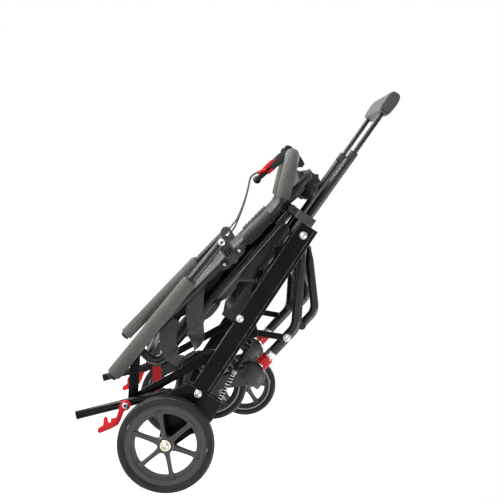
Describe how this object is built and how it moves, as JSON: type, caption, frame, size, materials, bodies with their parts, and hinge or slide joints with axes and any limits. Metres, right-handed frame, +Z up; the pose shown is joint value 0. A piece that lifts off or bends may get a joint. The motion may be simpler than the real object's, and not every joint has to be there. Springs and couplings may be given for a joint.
{
  "type": "folding transport chair",
  "caption": "Folding transport chair stored upright and pulled by a telescopic trolley grip: quilted seat and back, hand brakes, armrests, footrest, swivel casters.",
  "frame": {"origin": "bottom centre of the bounding box, the folded chair standing on its rear wheels and tipper ends", "axes": "+Z up, along the folded chair to the trolley grip; +X to the side of the front legs and casters; +Y to the sitter's left"},
  "size_m": [0.4236, 0.6076, 0.9667],
  "materials": {
    "black_metal": "gloss black enamel on steel tube",
    "plastic": "satin black moulding",
    "tyre": "satin black solid rubber",
    "foam": "matte grey-black closed-cell foam",
    "fabric": "black woven nylon, quilted",
    "grey_plastic": "satin dark grey moulding",
    "steel": "bright zinc",
    "zinc": "yellow zinc",
    "red": "red, satin gloss"
  },
  "bodies": {
    "root": {"side_rail_right": "black_metal", "side_rail_left": "black_metal", "axle_bracket_right": "black_metal", "axle_bracket_left": "black_metal", "rear_axle": "black_metal", "axle_nut_right": "zinc", "axle_nut_left": "zinc", "crosshead": "grey_plastic", "mid_cross_bar": "grey_plastic", "leg_pivot_bolt_right": "steel", "leg_pivot_bolt_left": "steel", "lock_rod": "black_metal", "lock_spring": "steel"},
    "trolley_tubes": {"trolley_tubes": "black_metal"},
    "trolley_rods": {"trolley_rod_right": "black_metal", "trolley_rod_left": "black_metal", "trolley_grip": "grey_plastic"},
    "front_frame": {"front_frame": "black_metal", "caster_spring_right": "red", "caster_spring_left": "red"},
    "leg_links": {"leg_link_right": "black_metal", "leg_link_left": "black_metal"},
    "footrest": {"footrest_tube": "black_metal", "footplate": "plastic"},
    "seat": {"seat_frame": "black_metal", "seat_cushion": "fabric", "pull_strap": "red"},
    "struts": {"strut_right": "black_metal", "strut_left": "black_metal"},
    "hinge_plates": {"hinge_plate_right": "black_metal", "hinge_plate_left": "black_metal"},
    "back": {"back_frame": "black_metal", "push_foam_right": "foam", "push_foam_left": "foam", "back_pad": "fabric", "armrest_bracket_right": "plastic", "armrest_bracket_left": "plastic", "lever_housing_right": "plastic", "lever_housing_left": "plastic", "brake_cable_right": "plastic", "brake_cable_left": "plastic", "lap_strap": "fabric"},
    "rear_wheel_right": {"rear_rim_right": "plastic", "rear_tyre_right": "tyre"},
    "brake_pedal_right": {"brake_pedal_right": "red"},
    "caster_fork_right": {"caster_fork_right": "grey_plastic"},
    "caster_wheel_right": {"caster_rim_right": "plastic", "caster_tyre_right": "tyre"},
    "armrest_right": {"armrest_tube_right": "black_metal", "armrest_foam_right": "foam"},
    "brake_lever_right": {"brake_lever_right": "plastic"},
    "rear_wheel_left": {"rear_rim_left": "plastic", "rear_tyre_left": "tyre"},
    "brake_pedal_left": {"brake_pedal_left": "red"},
    "caster_fork_left": {"caster_fork_left": "grey_plastic"},
    "caster_wheel_left": {"caster_rim_left": "plastic", "caster_tyre_left": "tyre"},
    "armrest_left": {"armrest_tube_left": "black_metal", "armrest_foam_left": "foam"},
    "brake_lever_left": {"brake_lever_left": "plastic"}
  },
  "joints": [
    {"name": "rear_wheel_right_spin", "type": "hinge", "parent": "root", "child": "rear_wheel_right", "pos_m": [0.05245, -0.28, 0.1015], "axis": [0, 1, 0], "continuous": true},
    {"name": "brake_pedal_right_press", "type": "hinge", "parent": "root", "child": "brake_pedal_right", "pos_m": [-0.06259, -0.24, 0.09574], "axis": [0, -1, 0], "range_deg": [0, 25]},
    {"name": "rear_wheel_left_spin", "type": "hinge", "parent": "root", "child": "rear_wheel_left", "pos_m": [0.05245, 0.28, 0.1015], "axis": [0, 1, 0], "continuous": true},
    {"name": "brake_pedal_left_press", "type": "hinge", "parent": "root", "child": "brake_pedal_left", "pos_m": [-0.06259, 0.24, 0.09574], "axis": [0, -1, 0], "range_deg": [0, 25]},
    {"name": "trolley_retract", "type": "slide", "parent": "root", "child": "trolley_tubes", "axis": [0.1616, 0, -0.9869], "range_m": [0, 0.15]},
    {"name": "trolley_rods_retract", "type": "slide", "parent": "trolley_tubes", "child": "trolley_rods", "axis": [0.1616, 0, -0.9869], "range_m": [0, 0.098]},
    {"name": "front_frame_unfold", "type": "hinge", "parent": "root", "child": "front_frame", "pos_m": [-0.04722, 0, 0.60952], "axis": [0, -1, 0], "range_deg": [0, 58.5]},
    {"name": "leg_links_turn", "type": "hinge", "parent": "front_frame", "child": "leg_links", "pos_m": [0.08396, 0, 0.43022], "axis": [0, 1, 0], "range_deg": [0, 80]},
    {"name": "footrest_unfold", "type": "hinge", "parent": "front_frame", "child": "footrest", "pos_m": [0.09083, 0, 0.46947], "axis": [0, 1, 0], "range_deg": [0, 165]},
    {"name": "caster_right_swivel", "type": "hinge", "parent": "front_frame", "child": "caster_fork_right", "pos_m": [0.08502, -0.19, 0.38324], "axis": [-0.0279, 0, 0.9996], "range_deg": [-180, 0]},
    {"name": "caster_left_swivel", "type": "hinge", "parent": "front_frame", "child": "caster_fork_left", "pos_m": [0.08502, 0.19, 0.38324], "axis": [0.0279, 0, -0.9996], "range_deg": [0, 180]},
    {"name": "caster_right_spin", "type": "hinge", "parent": "caster_fork_right", "child": "caster_wheel_right", "pos_m": [0.04086, -0.19, 0.24525], "axis": [0, 1, 0], "continuous": true},
    {"name": "caster_left_spin", "type": "hinge", "parent": "caster_fork_left", "child": "caster_wheel_left", "pos_m": [0.13682, 0.19, 0.24793], "axis": [0, 1, 0], "continuous": true},
    {"name": "seat_unfold", "type": "hinge", "parent": "root", "child": "seat", "pos_m": [-0.10073, 0, 0.63295], "axis": [0, 1, 0], "range_deg": [0, 30]},
    {"name": "struts_turn", "type": "hinge", "parent": "root", "child": "struts", "pos_m": [0.02546, 0, 0.3897], "axis": [0, 1, 0], "range_deg": [0, 48.6]},
    {"name": "hinge_plates_turn", "type": "hinge", "parent": "seat", "child": "hinge_plates", "pos_m": [-0.12804, 0, 0.19041], "axis": [0, -1, 0], "range_deg": [0, 81.3]},
    {"name": "back_unfold", "type": "hinge", "parent": "seat", "child": "back", "pos_m": [-0.12804, 0, 0.19041], "axis": [0, -1, 0], "range_deg": [0, 102]},
    {"name": "armrest_right_lower", "type": "hinge", "parent": "back", "child": "armrest_right", "pos_m": [-0.15836, -0.2485, 0.48051], "axis": [0, -1, 0], "range_deg": [0, 73]},
    {"name": "armrest_left_lower", "type": "hinge", "parent": "back", "child": "armrest_left", "pos_m": [-0.15836, 0.2485, 0.48051], "axis": [0, -1, 0], "range_deg": [0, 77.5]},
    {"name": "brake_lever_right_squeeze", "type": "hinge", "parent": "back", "child": "brake_lever_right", "pos_m": [-0.19315, -0.12, 0.69991], "axis": [0, -1, 0], "range_deg": [0, 15], "stiffness_Nm_per_rad": 0.6},
    {"name": "brake_lever_left_squeeze", "type": "hinge", "parent": "back", "child": "brake_lever_left", "pos_m": [-0.19315, 0.12, 0.69991], "axis": [0, -1, 0], "range_deg": [0, 15], "stiffness_Nm_per_rad": 0.6}
  ],
  "couplings": [
    {"joint": "leg_links_turn", "follows": "front_frame_unfold", "ratio": 1.3675},
    {"joint": "struts_turn", "follows": "seat_unfold", "ratio": 1.62},
    {"joint": "hinge_plates_turn", "follows": "seat_unfold", "ratio": 2.71},
    {"joint": "back_unfold", "follows": "seat_unfold", "ratio": 3.4},
    {"joint": "armrest_right_lower", "follows": "seat_unfold", "ratio": 2.43},
    {"joint": "armrest_left_lower", "follows": "seat_unfold", "ratio": 2.58}
  ]
}
